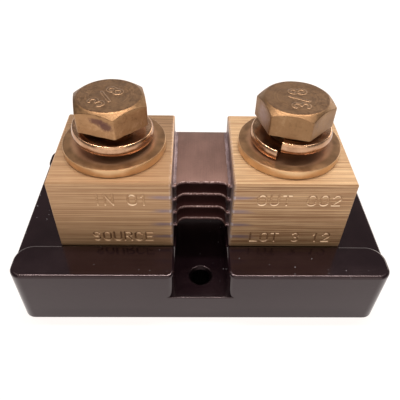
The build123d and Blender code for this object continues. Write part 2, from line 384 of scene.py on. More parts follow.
def resistance_alloy():
    """Matt heat toned sheet, ground bare along its front edge, with painted shade on the lower plates'
    tops.
    """
    finish = Finish("resistance_alloy", Metallic=0.55)
    facing = finish.facing()
    z = finish.point()[2]
    cloud = finish.grain((5, 9, 5), 2.0)
    mottle = finish.grain(0.35, 3.0)
    rolled = finish.grain((0.2, 8, 0.2), 2.0)
    colour = finish.tones(cloud * 0.5 + mottle * 0.3 + rolled * 0.2, *ALLOY)
    # The tops of the plates below the top one are painted dark as shade
    shaded_tops = finish.step(z - top_plate_level, -0.5, -1.5) * finish.step(facing[2], 0.3, 0.7)
    colour = finish.mix(colour, ALLOY_LOWER_TOPS_SHADE, shaded_tops * 0.9)

    # The ground edge is bare metal, painted pale along its top as a highlight and darker below its burr
    # as shade
    ground = finish.step(facing[1], -0.35, -0.8)
    level = z - last_plate_level
    above = level - finish.maths("ROUND", level / plate_pitch) * plate_pitch
    burr = finish.step(above + 0.3 * mottle, 0.05, 0.3)
    bare = finish.mix(ALLOY_SHADE_BELOW_BURR, finish.tones(mottle, *ALLOY_BARE_AND_HIGHLIGHT), burr)
    colour = finish.mix(colour, bare, ground)
    return finish.done(colour, 0.5 + 0.12 * mottle, mottle * 0.6 + rolled * 0.4, 0.012)


def soft_solder():
    """Satin solder that has run and set."""
    finish = Finish("soft_solder", Metallic=0.9)
    cloud = finish.grain((0.9, 2.4, 0.9), 3.0)
    pits = finish.grain(0.22, 2.0)
    relief = cloud * 0.7 + pits * 0.3
    colour = finish.tones(relief, *SOLDER)
    return finish.done(colour, 0.33 + 0.2 * cloud, relief, 0.03)


# The mounting holes' distance from the middle, and where the ring of painted shade round
# them starts and ends, from their centres
MOUNTING_HOLE_Y = 15.875
HOLE_SHADE_OUTER = 3.1
HOLE_SHADE_INNER = 2.6


def moulded_phenolic():
    """Black moulded phenolic: glossy, faintly smudged and dusty, and darkened round its
    mounting holes as painted shade."""
    finish = Finish("moulded_phenolic", IOR=1.53, Specular_Tint=PHENOLIC_TINT)
    x, y, _ = finish.point()
    peel = finish.grain(1.6, 1.0)
    smudge = finish.grain(7.0, 4.0)
    fine = finish.grain(0.12, 2.0)
    upward = finish.step(finish.facing()[2], 0.5, 0.9)
    dust = finish.specks(1.7, 0.11) * upward * finish.step(smudge, 0.35, 0.6)
    colour = finish.mix(*PHENOLIC, smudge * 0.7 + fine * 0.3)
    colour = finish.mix(colour, DUST, dust)
    from_hole = abs(y) - MOUNTING_HOLE_Y
    from_hole = (from_hole * from_hole + x * x) ** 0.5
    # Painted shade: round the holes the black is made metallic and rougher, which takes away its
    # reflections
    hole_shade = finish.step(from_hole, HOLE_SHADE_OUTER, HOLE_SHADE_INNER)
    finish.feed("Metallic", 0.75 * hole_shade)
    roughness = 0.08 + 0.08 * smudge + 0.03 * fine + 0.4 * dust + 0.15 * hole_shade
    relief = peel * 0.8 + fine * 0.2 + dust
    return finish.done(colour, roughness, relief, 0.006)


def screw_brass():
    """Turned screw brass, a little tarnished."""
    finish = Finish("screw_brass", Metallic=1.0)
    cloud = finish.grain(1.6, 3.0)
    grit = finish.grain(0.2, 2.0)
    colour = finish.tones(cloud * 0.7 + grit * 0.3, *SCREW_BRASS)
    return finish.done(colour, 0.24 + 0.16 * cloud, grit, 0.008)


# -------------------------------------------------------------- mesh helpers


def new_object(name, data):
    """A new object of the scene for a mesh, a light or a camera."""
    thing = bpy.data.objects.new(name, data)
    bpy.context.scene.collection.objects.link(thing)
    return thing


def moved(bm, *matrices):
    for matrix in matrices:
        bm.transform(matrix)
    return bm


def rotation(degrees, axis):
    return Matrix.Rotation(math.radians(degrees), 4, axis)


def merged(bm, distance=MERGE):
    bmesh.ops.remove_doubles(bm, verts=bm.verts, dist=distance)
    return bm


def scaled(bm, size):
    bmesh.ops.scale(bm, vec=size, verts=bm.verts)
    return bm


def shifted(bm, step):
    bmesh.ops.translate(bm, vec=step, verts=bm.verts)
    return bm


def bevelled(bm, edges, offset, segments):
    shape = {"segments": segments, "profile": 0.5, "affect": "EDGES", "material": -1}
    bmesh.ops.bevel(bm, geom=edges, offset=offset, **shape)


def cuboid(size):
    bm = bmesh.new()
    bmesh.ops.create_cube(bm, size=1)
    return scaled(bm, size)


def set_down(name, bm, body, finishes, replaced, sharp=35, even=False):
    """Turns a mesh in millimetres into a finished piece that stands for CAD nodes. An even
    piece keeps its flat faces flat where they run into a rounded edge."""
    bmesh.ops.recalc_face_normals(merged(bm), faces=bm.faces)
    scaled(bm, (MM, MM, MM))
    mesh = bpy.data.meshes.new(name)
    bm.to_mesh(mesh)
    bm.free()
    mesh.shade_smooth()
    mesh.set_sharp_from_angle(angle=math.radians(sharp))
    for finish in finishes:
        mesh.materials.append(finish.material)
    piece = new_object(name, mesh)
    if even:
        weights = piece.modifiers.new("flat_faces", "WEIGHTED_NORMAL")
        weights.keep_sharp = True
        weights.weight = 100
    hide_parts(*replaced)
    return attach(piece, body)


def copied(node):
    """A CAD node's own shape in millimetres, merged and with its flat faces whole."""
    bm = bmesh.new()
    bm.from_mesh(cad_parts[node].data)
    merged(scaled(bm, (1 / MM, 1 / MM, 1 / MM)))
    bmesh.ops.dissolve_limit(bm, angle_limit=math.radians(0.3), verts=bm.verts, edges=bm.edges)
    return bm


def joined(bm, *others):
    """Adds other meshes to the first one."""
    for other in others:
        mesh = bpy.data.meshes.new("joined")
        other.to_mesh(mesh)
        other.free()
        bm.from_mesh(mesh)
        bpy.data.meshes.remove(mesh)
    return bm


def carved(bm, cutter):
    """The first mesh with the second one cut out of it."""
    parts = []
    for shape in (bm, cutter):
        mesh = bpy.data.meshes.new("carving")
        shape.to_mesh(mesh)
        shape.free()
        parts.append(new_object("carving", mesh))
    cut = parts[0].modifiers.new("cut", "BOOLEAN")
    cut.operation = "DIFFERENCE"
    cut.solver = "EXACT"
    cut.object = parts[1]
    graph = bpy.context.evaluated_depsgraph_get()
    result = bmesh.new()
    result.from_object(parts[0], graph)
    for part in parts:
        mesh = part.data
        bpy.data.objects.remove(part)
        bpy.data.meshes.remove(mesh)
    return result


def closed_up(bm):
    """Fills the open rims of a mesh."""
    rims = [edge for edge in bm.edges if edge.is_boundary]
    bmesh.ops.holes_fill(bm, edges=rims, sides=0)
    return bm


def extruded(bm, edges):
    """Extrudes edges, and returns the new points and the new edges between them."""
    grown = bmesh.ops.extrude_edge_only(bm, edges=edges)["geom"]
    verts = [item for item in grown if isinstance(item, bmesh.types.BMVert)]
    drawn = [item for item in grown if isinstance(item, bmesh.types.BMEdge)]
    return verts, [edge for edge in drawn if set(edge.verts) <= set(verts)]


def spun(outline, closed, steps, angle=360.0, rise=0.0):
    """Turns an outline of (radius, height) points round +Z, climbing by rise in all."""
    bm = bmesh.new()
    verts = [bm.verts.new((radius, 0, height)) for radius, height in outline]
    pairs = list(zip(verts, verts[1:]))
    if closed:
        pairs.append((verts[-1], verts[0]))
    edges = [bm.edges.new(pair) for pair in pairs]
    whole = abs(angle) == 360 and rise == 0
    bmesh.ops.spin(
        bm,
        geom=verts + edges,
        cent=(0, 0, 0),
        axis=(0, 0, 1),
        dvec=(0, 0, rise / steps),
        angle=math.radians(angle),
        steps=steps,
        use_merge=whole,
    )
    merged(bm)
    return closed_up(bm) if closed and not whole else bm


def arc(centre_r, centre_z, radius, start, end, steps=5):
    """Points along an arc in an outline, with angles in degrees."""
    points = []
    for step in range(steps + 1):
        angle = math.radians(start + (end - start) * step / steps)
        points.append((centre_r + radius * math.cos(angle), centre_z + radius * math.sin(angle)))
    return points


def rounded_section(inner, outer, bottom, top, outer_round, inner_round):
    """A rectangle with rounded corners, as an outline to be spun."""
    return (
        arc(outer - outer_round, bottom + outer_round, outer_round, -90, 0)
        + arc(outer - outer_round, top - outer_round, outer_round, 0, 90)
        + arc(inner + inner_round, top - inner_round, inner_round, 90, 180)
        + arc(inner + inner_round, bottom + inner_round, inner_round, 180, 270)
    )


def skinned(rings, segments):
    """Skins rings round +Z and closes the first one. A ring gives a radius and a height for
    an angle in radians; only the last ring may be a point."""
    bm = bmesh.new()
    verts = bmesh.ops.create_circle(bm, segments=segments, radius=1)["verts"]
    edges = list(bm.edges)
    for index, ring in enumerate(rings):
        if index:
            verts, edges = extruded(bm, edges)
        for vert in verts:
            angle = math.atan2(vert.co.y, vert.co.x)
            radius, height = ring(angle)
            vert.co = (radius * math.cos(angle), radius * math.sin(angle), height)
    return closed_up(merged(bm, MERGE / 10))


# A thread's depth as a share of its pitch, and the steps in one turn of it
THREAD_DEPTH = 0.54
THREAD_STEPS = 36


def threaded_rod(radius, pitch, top, bottom, tip_chamfer):
    """A rod with a real 60 degree thread, closed at both ends."""
    depth = THREAD_DEPTH * pitch
    root = radius - depth
    crest_flat = pitch / 8
    flank = depth * math.tan(math.radians(30))
    outline = [(radius, 0), (radius, crest_flat), (root, crest_flat + flank)]
    outline += [(root, pitch - flank), (radius, pitch)]
    turns = math.ceil((top - bottom) / pitch) + 2
    bm = spun(outline, False, THREAD_STEPS * turns, 360.0 * turns, pitch * turns)
    shifted(bm, (0, 0, bottom - 1.5 * pitch))
    for height, direction in ((bottom, -1), (top, 1)):
        bmesh.ops.bisect_plane(
            bm,
            geom=bm.verts[:] + bm.edges[:] + bm.faces[:],
            dist=MERGE,
            plane_co=(0, 0, height),
            plane_no=(0, 0, direction),
            clear_outer=True,
        )
    for vert in bm.verts:
        limit = radius - tip_chamfer + max(0.0, vert.co.z - bottom)
        reach = math.hypot(vert.co.x, vert.co.y)
        if reach > limit:
            vert.co.x *= limit / reach
            vert.co.y *= limit / reach
    return closed_up(merged(bm))


def barrel_section(inner, outer, bottom, top, edge_round, bulge):
    """A rounded section whose outer side swells by the given angle at its top and bottom."""
    half = (top - bottom) / 2 - edge_round * (1 - math.sin(math.radians(bulge)))
    swell = half / math.sin(math.radians(bulge))
    middle = (top + bottom) / 2
    side = arc(outer - swell, middle, swell, -bulge, bulge, 8)
    corner = outer - swell + (swell - edge_round) * math.cos(math.radians(bulge))
    return (
        arc(corner, bottom + edge_round, edge_round, -90, -bulge)
        + side[1:-1]
        + arc(corner, top - edge_round, edge_round, bulge, 90)
        + arc(inner + edge_round, top - edge_round, edge_round, 90, 180, 4)
        + arc(inner + edge_round, bottom + edge_round, edge_round, 180, 270, 4)
    )


# ------------------------------------------------------------ stamped letters

# Single strokes on a cell one unit high: lines as two ends, arcs as a centre, a
# radius and two angles, turned through anticlockwise.
LETTER_WIDTH = 0.6
OVAL = [
    ((0.3, 0.7), 0.3, 0, 180),
    ((0.3, 0.3), 0.3, 180, 360),
    ((0, 0.3), (0, 0.7)),
    ((0.6, 0.3), (0.6, 0.7)),
]
GLYPHS = {
    "E": [((0, 0), (0, 1)), ((0, 0), (0.6, 0)), ((0, 0.5), (0.5, 0.5)), ((0, 1), (0.6, 1))],
    "I": [((0.3, 0), (0.3, 1))],
    "C": [((0.3, 0.7), 0.3, 20, 180), ((0.3, 0.3), 0.3, 180, 340), ((0, 0.3), (0, 0.7))],
    "L": [((0, 0), (0, 1)), ((0, 0), (0.6, 0))],
    "N": [((0, 0), (0, 1)), ((0, 1), (0.6, 0)), ((0.6, 0), (0.6, 1))],
    "O": OVAL,
    "S": [((0.3, 0.75), 0.25, 20, 270), ((0.3, 0.25), 0.25, -160, 90)],
    "R": [
        ((0, 0), (0, 1)),
        ((0, 1), (0.35, 1)),
        ((0, 0.5), (0.35, 0.5)),
        ((0.35, 0.75), 0.25, -90, 90),
        ((0.3, 0.5), (0.6, 0)),
    ],
    "T": [((0.3, 0), (0.3, 1)), ((0, 1), (0.6, 1))],
    "U": [((0, 0.3), (0, 1)), ((0.6, 0.3), (0.6, 1)), ((0.3, 0.3), 0.3, 180, 360)],
    "0": OVAL,
    "1": [((0.3, 0), (0.3, 1)), ((0.3, 1), (0.12, 0.8))],
    "2": [((0.3, 0.71), 0.29, -35, 165), ((0.5375, 0.5437), (0, 0)), ((0, 0), (0.6, 0))],
    "3": [((0.3, 0.75), 0.25, -90, 150), ((0.3, 0.25), 0.25, -150, 90)],
    "8": [((0.3, 0.76), 0.24, 0, 360), ((0.3, 0.26), 0.26, 0, 360)],
    "/": [((0, -0.05), (0.55, 1.05))],
    " ": [],
}


def written(text, height, advance):
    """The strokes of a line of letters in millimetres, starting at the origin."""
    strokes = []
    for index, letter in enumerate(text):
        start = Vector((index * advance, 0))
        for stroke in GLYPHS[letter]:
            if len(stroke) == 2:
                strokes.append((start + Vector(stroke[0]) * height, start + Vector(stroke[1]) * height))
            else:
                centre, radius, low, high = stroke
                strokes.append((start + Vector(centre) * height, radius * height, low, high))
    return strokes


def stroke_distance(point, stroke):
    """How far a point lies from a line or an arc."""
    if len(stroke) == 2:
        start, end = stroke
        along = end - start
        share = max(0.0, min(1.0, (point - start).dot(along) / along.length_squared))
        return (point - start - along * share).length
    centre, radius, low, high = stroke
    out = point - centre
    turned = (math.degrees(math.atan2(out.y, out.x)) - low) % 360
    if turned <= high - low:
        return abs(out.length - radius)
    ends = (math.radians(low), math.radians(high))
    return min((out - radius * Vector((math.cos(a), math.sin(a)))).length for a in ends)


def nearest_stroke(point, strokes, reach):
    return min([stroke_distance(point, stroke) for stroke in strokes] + [reach])


# --------------------------------------------------------------------- pieces

KERF_DEPTH = 4.0
KERF_HALF = 0.6
KERF_CHAMFER = 0.3
KERF_CLEARANCE = 0.05
FRONT_CELL = 0.085
ROW_MARGIN = 0.7
STAMP_HALF_WIDTH = 0.25
STAMP_LIP = 0.02
# Grooves shallower than this get no painted shade, and those as deep as DEEPEST_STAMP get the most
SHADE_FREE_DEPTH = 0.13
DEEPEST_STAMP = 0.24
FLANK_STEP = 0.02
# How hard a letter is struck, on average and at the most beyond that
STRIKE = 0.9
STRIKE_SPREAD = 0.35
FARTHEST = 1.0

# Each row: its text, its first letter's place from the block's outer end, its
# foot above the block's underside, letter height, advance and depth
STAMPS = {
    "left": [
        ("IN 01", 9.15, 13.2, 2.8, 2.4, 0.15),
        ("SOURCE", 7.75, 2.2, 2.55, 2.33, 0.24),
    ],
    "right": [
        ("OUT 002", 5.3, 13.4, 2.7, 2.6, 0.13),
        ("LOT 3 12", 4.65, 2.1, 2.6, 2.32, 0.2),
    ],
}


def on_front(item):
    """Whether all points of a face or an edge lie on the blocks' front."""
    return all(abs(vert.co.y - block_front) < TOUCH for vert in item.verts)


def cut_across(bm, faces, place, direction):
    """Cuts flat faces along one plane."""
    edges = {edge for face in faces for edge in face.edges}
    verts = {vert for face in faces for vert in face.verts}
    bmesh.ops.bisect_plane(
        bm,
        geom=list(faces) + list(edges) + list(verts),
        dist=MERGE,
        plane_co=place,
        plane_no=direction,
    )


def fine_patch(bm, low_x, high_x, low_z, high_z):
    """Cuts a rectangle of the front face into small squares, and returns its points."""

    def inside(point, slack=0.0):
        return low_x - slack < point.x < high_x + slack and low_z - slack < point.z < high_z + slack

    for height in (low_z, high_z):
        cut_across(bm, [face for face in bm.faces if on_front(face)], (0, 0, height), (0, 0, 1))
    for place in (low_x, high_x):
        band = [
            face
            for face in bm.faces
            if on_front(face) and low_z < face.calc_center_median().z < high_z
        ]
        cut_across(bm, band, (place, 0, 0), (1, 0, 0))
    patch = [face for face in bm.faces if on_front(face) and inside(face.calc_center_median())]
    level = [
        edge
        for face in patch
        for edge in face.edges
        if abs(edge.verts[0].co.z - edge.verts[1].co.z) < MERGE
    ]
    cuts = round((high_x - low_x) / FRONT_CELL)
    bmesh.ops.subdivide_edges(bm, edges=list(set(level)), cuts=cuts, use_grid_fill=True)
    upright = [
        edge
        for edge in bm.edges
        if on_front(edge)
        and all(inside(vert.co, TOUCH) for vert in edge.verts)
        and abs(edge.verts[0].co.x - edge.verts[1].co.x) < MERGE
    ]
    cuts = round((high_z - low_z) / FRONT_CELL)
    bmesh.ops.subdivide_edges(bm, edges=upright, cuts=cuts, use_grid_fill=True)
    return [
        vert
        for vert in bm.verts
        if abs(vert.co.y - block_front) < TOUCH and inside(vert.co, -TOUCH)
    ]


def press_row(bm, stamp, shine, side, row):
    """Presses one row of letters into a block's front face, with a raised lip round each."""
    text, start, foot, height, advance, depth = row
    low_x = start - inner_x - (block_high.x - inner_x) if side < 0 else inner_x + start
    low_z = block_low.z + foot
    width = (len(text) - 1) * advance + LETTER_WIDTH * height
    strokes = written(text, height, advance)
    first_x, last_x = low_x - ROW_MARGIN, low_x + width + ROW_MARGIN
    kerf_end = inner_x + KERF_DEPTH + KERF_CLEARANCE
    if side < 0:
        last_x = min(last_x, -kerf_end)
    else:
        first_x = max(first_x, kerf_end)
    for vert in fine_patch(bm, first_x, last_x, low_z - ROW_MARGIN, low_z + height + ROW_MARGIN):
        point = Vector((vert.co.x - low_x, vert.co.z - low_z))
        strike = STRIKE + STRIKE_SPREAD * noise.noise(Vector((point.x * 0.45, side * 7.0, low_z)))
        distance = nearest_stroke(point, strokes, FARTHEST) / STAMP_HALF_WIDTH
        higher = point + Vector((0, FLANK_STEP))
        above = nearest_stroke(higher, strokes, FARTHEST) / STAMP_HALF_WIDTH
        flank = max(0.0, (distance - above) * STAMP_HALF_WIDTH / FLANK_STEP)
        groove = max(0.0, 1 - distance * distance)
        lip = math.exp(-((distance - 1.35) / 0.35) ** 2)
        vert.co.y += strike * (depth * groove - STAMP_LIP * lip)
        # The deeper grooves carry painted shade, weaker on the flank that faces the light
        groove_shade = max(0.0, depth - SHADE_FREE_DEPTH) / (DEEPEST_STAMP - SHADE_FREE_DEPTH)
        vert[stamp] = strike * groove * groove_shade * (1 - 0.7 * flank)
        # The flank that faces the light carries a painted highlight
        lit = flank * max(0.0, 1 - abs(distance - 0.75) / 0.6) * (1 - 0.5 * groove_shade)
        vert[shine] = strike * (lit + 0.06 * groove * (1 - groove_shade))


# The base's channel floor, and the rounded lip along each of its two ends
CHANNEL_FLOOR = 7.9
LIP_RADIUS = 0.25
LIP_INSET = 0.16
LIP_LENGTH = 14.6


def make_base(finish):
    """The moulding, with a rounded lip along both ends of its channel floor."""
    bm = copied("base")
    rear = box_of("base")[1].y
    for end in ENDS.values():
        lip = bmesh.new()
        size = {"radius1": LIP_RADIUS, "radius2": LIP_RADIUS, "depth": LIP_LENGTH}
        bmesh.ops.create_cone(lip, cap_ends=True, segments=24, **size)
        place = (0, end * (rear - LIP_INSET), CHANNEL_FLOOR - LIP_INSET)
        joined(bm, shifted(moved(lip, rotation(90, "Y")), place))
    set_down("phenolic_base", bm, "root", [finish], ["base"], even=True)


def make_block(name, side, finish):
    """A block with its rows of letters."""
    node = f"terminal_block_{name}"
    bm = copied(node)
    stamp = bm.verts.layers.float.new("stamp")
    shine = bm.verts.layers.float.new("shine")
    for row in STAMPS[name]:
        press_row(bm, stamp, shine, side, row)
    set_down(f"brass_block_{name}", bm, "root", [finish], [node], even=True)


# Resistance plates: how far each is ground back, from the top one down, and where across
# the front that starts. The waves along the ground edge are a spacing, a share and a seed.
PLATE_TRIMS = [1.3, 1.9, 1.95, 2.2]
TRIM_START = 5.5
TRIM_RUN = 2.1
EDGE_WAVE = 0.09
EDGE_WAVES = [(1.1, 1.0, 0), (3.7, 0.6, 3), (8.3, 0.4, 6)]
PLATE_COLUMNS = 240
PLATE_ROWS = 4
PLATE_BEVEL = 0.1
PLATE_BURR = 0.035


def eased(share):
    share = max(0.0, min(1.0, share))
    return share * share * (3 - 2 * share)


def cornered(share):
    """A quarter round from 0 to 1, steep at its start."""
    share = max(0.0, min(1.0, share))
    return math.sqrt(1 - (1 - share) ** 2)


def make_plate(index, finish):
    """A sheet whose front edge is ground back between the blocks, a little unevenly."""
    node = f"element_plate_{index + 1}"
    low, high = box_of(node)
    bm = bmesh.new()
    bmesh.ops.create_grid(bm, x_segments=PLATE_COLUMNS, y_segments=PLATE_ROWS, size=0.5)
    scaled(bm, (high.x - low.x, high.y - low.y, 1))
    shifted(bm, (0, (low.y + high.y) / 2, low.z))
    for vert in bm.verts:
        between = cornered((TRIM_START - abs(vert.co.x)) / TRIM_RUN)
        waves = (
            share * noise.noise(Vector((vert.co.x * spacing, index * 5.0, seed)))
            for spacing, share, seed in EDGE_WAVES
        )
        back = between * (PLATE_TRIMS[index] + EDGE_WAVE * sum(waves))
        frontness = (high.y - vert.co.y) / (high.y - low.y)
        vert.co.y += back * eased((frontness - 0.4) / 0.6)
    top = bmesh.ops.extrude_face_region(bm, geom=bm.faces[:])["geom"]
    top = [item for item in top if isinstance(item, bmesh.types.BMVert)]
    bmesh.ops.translate(bm, vec=(0, 0, high.z - low.z), verts=top)
    bmesh.ops.recalc_face_normals(bm, faces=bm.faces)
    sharp = [edge for edge in bm.edges if edge.calc_face_angle(0) > math.radians(60)]
    bevelled(bm, sharp, PLATE_BEVEL, 2)
    for vert in bm.verts:
        if abs(vert.co.x) < inner_x and vert.co.y < 0:
            burr = noise.noise(Vector((vert.co.x * 2.9, index * 5.0, vert.co.z)))
            vert.co.z += PLATE_BURR * burr
    set_down(f"resistance_plate_{index + 1}", bm, "root", [finish], [node])


# Solder: how far a fillet reaches from its corner, its overhang past the plate's ends, its
# depth in the kerf, the run over which its ends taper and the length of the drops there
SOLDER_REACH = 0.8
SOLDER_OVERHANG = 0.12
SOLDER_ROOT = 0.3
SOLDER_TAPER = 0.6
SOLDER_TIP = 0.12
DROP_LENGTH = 0.55
DROP_GROWTH = 0.35
BEAD_STATIONS = 90


def solder_bead(side, level, front, rear, seed):
    """A concave fillet above and below a plate's end, closed by a drop at each end."""
    start, end = front - SOLDER_OVERHANG, rear + SOLDER_OVERHANG
    bm = bmesh.new()
    half = plate_thickness / 2
    section = [(-SOLDER_ROOT, -half - 1), (-SOLDER_ROOT, half + 1)]
    section += arc(1, half + 1, 1, 180, 270)
    section += arc(1, -half - 1, 1, 90, 180)
    verts = [bm.verts.new((r, start, z)) for r, z in section]
    edges = [bm.edges.new(pair) for pair in zip(verts, verts[1:] + verts[:1])]
    for station in range(BEAD_STATIONS + 1):
        y = start + (end - start) * station / BEAD_STATIONS
        ease = SOLDER_TIP
        if station:
            verts, edges = extruded(bm, edges)
        if 0 < station < BEAD_STATIONS:
            ease = math.sqrt(min(1.0, (y - start) / SOLDER_TAPER, (end - y) / SOLDER_TAPER))
        drop = sum(math.exp(-(((y - place) / DROP_LENGTH) ** 2)) for place in (front, rear))
        for vert, (reach, height) in zip(verts, section):
            wave = 1 + 0.16 * noise.noise(Vector((reach, y * 0.8, seed + height * 0.3)))
            wave += 0.1 * noise.noise(Vector((reach, y * 2.6, seed + height * 0.3)))
            size = SOLDER_REACH * ease * (wave + DROP_GROWTH * drop)
            edge = half if height > 0 else -half
            out = reach * size if reach > 0 else reach
            vert.co = (side * (inner_x - out), y, level + edge * ease + (height - edge) * size)
    return closed_up(bm)


def kerf_bar(side, level):
    """Solder that fills one kerf, flush with the block's front and rear."""
    bm = cuboid((KERF_DEPTH, block_rear - block_front, 2 * KERF_HALF))
    corners = [
        edge
        for edge in bm.edges
        if all(vert.co.x * side < 0 for vert in edge.verts)
        and edge.verts[0].co.z * edge.verts[1].co.z < 0
    ]
    bevelled(bm, corners, KERF_CHAMFER, 1)
    return shifted(bm, (side * (inner_x + KERF_DEPTH / 2), 0, level))


def make_solder(name, side, solder, brass):
    """The beads and the filled kerfs of one block, whose bars wear the brushed brass."""
    beads, bars = bmesh.new(), bmesh.new()
    for index in range(PLATES):
        level = top_plate_level - index * plate_pitch
        front, rear = top_plate_low.y, top_plate_high.y
        joined(beads, solder_bead(side, level, front, rear, 11.0 * index + side))
        joined(bars, kerf_bar(side, level))
        joined(bars, kerf_bar(side, level))
    for face in bars.faces:
        face.material_index = 1
    joined(beads, bars)
    node = f"solder_joints_{name}"
    set_down(f"solder_{name}", beads, "root", [solder, brass], [node])


# Terminal bolts and their washers
FLATS = 14.2875
HEAD_HEIGHT = 5.75
HEAD_CIRCLE = 13.1875
HEAD_SLOPE = math.tan(math.radians(34))
HEAD_TURNS = {"left": -78.4, "right": -75.7}
WASHER_FACE = 13.5875
WASHER_FACE_HEIGHT = 0.4
CORNER_ROUND = 0.1
CORNER_CUT = 0.75
EDGE_ROUND = 0.07
HEAD_SEGMENTS = 288
TOP_RINGS = 58
HEAD_UNEVEN = 0.045
BOLT_RADIUS = 4.7
BOLT_PITCH = 25.4 / 16
BOLT_TIP_CHAMFER = 0.8
MARK_HEIGHT = 3.3
MARK_ADVANCE = 2.75
MARK_RAISE = 0.07
MARK_HALF_WIDTH = 0.29
MARK_EDGE = 0.28
# Where each bolt's size mark starts from the head's centre, and its direction
MARKS = {"left": ((-1.35, -4.55), 55.0), "right": ((1.95, -4.3), 89.0)}


def hexagon(angle, turn):
    """Distance from the axis to the side of a hexagon with slightly rounded corners."""
    across = (math.degrees(angle) - turn) % 60 - 30
    reach = FLATS / 2 / math.cos(math.radians(across))
    corner = FLATS / math.sqrt(3) - CORNER_ROUND
    over = reach - corner
    return reach - max(0.0, over) * CORNER_CUT


def head_rings(turn):
    """Rings of a bolt head, from its underside round to the middle of its top."""

    def plain(radius, height):
        return lambda angle: (radius, height)

    def crown(radius):
        return HEAD_HEIGHT - max(0.0, radius - HEAD_CIRCLE / 2) * HEAD_SLOPE

    def hexagonal(inset, height):
        """A ring inset from the hexagon, whose radius gives its height."""

        def ring(angle):
            radius = hexagon(angle, turn) - inset
            return radius, height(radius)

        return ring

    def side(share):
        low = WASHER_FACE_HEIGHT + EDGE_ROUND
        return hexagonal(0, lambda radius: low + (crown(radius) - EDGE_ROUND - low) * share)

    def shoulder(inset, drop):
        return hexagonal(inset * EDGE_ROUND, lambda radius: crown(radius) - drop * EDGE_ROUND)

    def slope(share):
        def ring(angle):
            outer = hexagon(angle, turn) - 2 * EDGE_ROUND
            radius = outer + (HEAD_CIRCLE / 2 + 0.12 - outer) * share
            return radius, crown(radius)

        return ring

    face = WASHER_FACE / 2
    rings = [plain(BOLT_RADIUS, 0.0), plain(face - 0.1, 0.0), plain(face, 0.1)]
    rings += [plain(face, WASHER_FACE_HEIGHT)]
    rings += [hexagonal(EDGE_ROUND, lambda radius: WASHER_FACE_HEIGHT)]
    rings += [side(step / 6) for step in range(7)]
    rings += [shoulder(0.35, 0.3), shoulder(1.0, 0.05)]
    rings += [slope(step / 4) for step in range(5)]
    middle = HEAD_CIRCLE / 2
    rings += [plain(middle + 0.04, HEAD_HEIGHT - 0.05), plain(middle - 0.06, HEAD_HEIGHT - 0.015)]
    middle -= 0.16
    rings += [plain(middle * (1 - step / TOP_RINGS), HEAD_HEIGHT) for step in range(TOP_RINGS)]
    return rings + [plain(0.0, HEAD_HEIGHT)]


def make_bolt(name, side, finish):
    """A bolt with a raised size mark on its slightly uneven head."""
    head = skinned(head_rings(HEAD_TURNS[name]), HEAD_SEGMENTS)
    stamp = head.verts.layers.float.new("stamp")
    (start_x, start_y), direction = MARKS[name]
    turn = Matrix.Rotation(math.radians(-direction), 2)
    strokes = written("3/8", MARK_HEIGHT, MARK_ADVANCE)
    for vert in head.verts:
        if vert.co.z > HEAD_HEIGHT - 0.001:
            point = turn @ Vector((vert.co.x - start_x, vert.co.y - start_y))
            outside = nearest_stroke(point, strokes, 2 * FARTHEST) - MARK_HALF_WIDTH
            raised = 1 - eased(outside / MARK_EDGE + 0.5)
            vert[stamp] = raised
            vert.co.z += MARK_RAISE * raised
        if vert.co.z > WASHER_FACE_HEIGHT:
            uneven = noise.noise_vector(vert.co * 0.32 + Vector((side * 9.0, 0, 0)))
            vert.co += uneven * HEAD_UNEVEN
    underside = bolt_high.z - HEAD_HEIGHT
    bottom = bolt_low.z - underside
    rod = threaded_rod(BOLT_RADIUS, BOLT_PITCH, 0.3, bottom, BOLT_TIP_CHAMFER)
    bm = shifted(joined(head, rod), (side * bolt_x, 0, underside))
    node = f"terminal_bolt_{name}"
    set_down(f"hex_bolt_{name}", bm, f"{name}_bolt", [finish], [node], sharp=28)


FLAT_WASHER_BORE = 5.15
FLAT_WASHER_ROUND = 0.2


def make_flat_washer(name, side, finish):
    outer = (washer_high.x - washer_low.x) / 2
    heights = (washer_low.z, washer_high.z)
    rounds = (FLAT_WASHER_ROUND, FLAT_WASHER_ROUND)
    bm = spun(rounded_section(FLAT_WASHER_BORE, outer, *heights, *rounds), True, 160)
    shifted(bm, (side * bolt_x, 0, 0))
    node = f"flat_washer_{name}"
    set_down(f"flat_washer_brass_{name}", bm, f"{name}_washers", [finish], [node])


# Spring washers; the bulge and the split are angles in degrees
SPRING_STARTS = {"left": 110.0, "right": -118.0}
SPRING_BORE = 4.9
SPRING_OUTER = 8.65
SPRING_WIRE = 2.39
SPRING_ROUND = 0.3
SPRING_BULGE = 29
SPRING_SPLIT = 5.0


def make_lock_washer(name, side, finish):
    """A turn of wire that climbs clockwise, with square-cut ends."""
    heights = (spring_low.z, spring_low.z + SPRING_WIRE)
    section = barrel_section(SPRING_BORE, SPRING_OUTER, *heights, SPRING_ROUND, SPRING_BULGE)
    rise = spring_high.z - spring_low.z - SPRING_WIRE
    bm = spun(section, True, 176, SPRING_SPLIT - 360, rise)
    shifted(moved(bm, rotation(SPRING_STARTS[name], "Z")), (side * bolt_x, 0, 0))
    node = f"lock_washer_{name}"
    set_down(f"spring_washer_{name}", bm, f"{name}_washers", [finish], [node])


# Small screws and their washers
SCREW_RADIUS = 2.05
SCREW_PITCH = 25.4 / 32
SCREW_TIP_CHAMFER = 0.4
SCREW_HEAD_HEIGHT = 2.8
SCREW_HEAD_ROUND = 0.9
SCREW_FOOT_ROUND = 0.12
SENSE_HEAD_RADIUS = 4.0
HOLD_DOWN_HEAD_RADIUS = 3.5
SLOT_WIDTH = 1.1
SLOT_DEPTH = 1.3
SMALL_WASHER_INNER = 2.2
SMALL_WASHER_OUTER = 3.7
SMALL_WASHER_THICKNESS = 0.9
SMALL_WASHER_ROUNDS = (0.16, 0.1)
SMALL_WASHER_GAP = 0.8


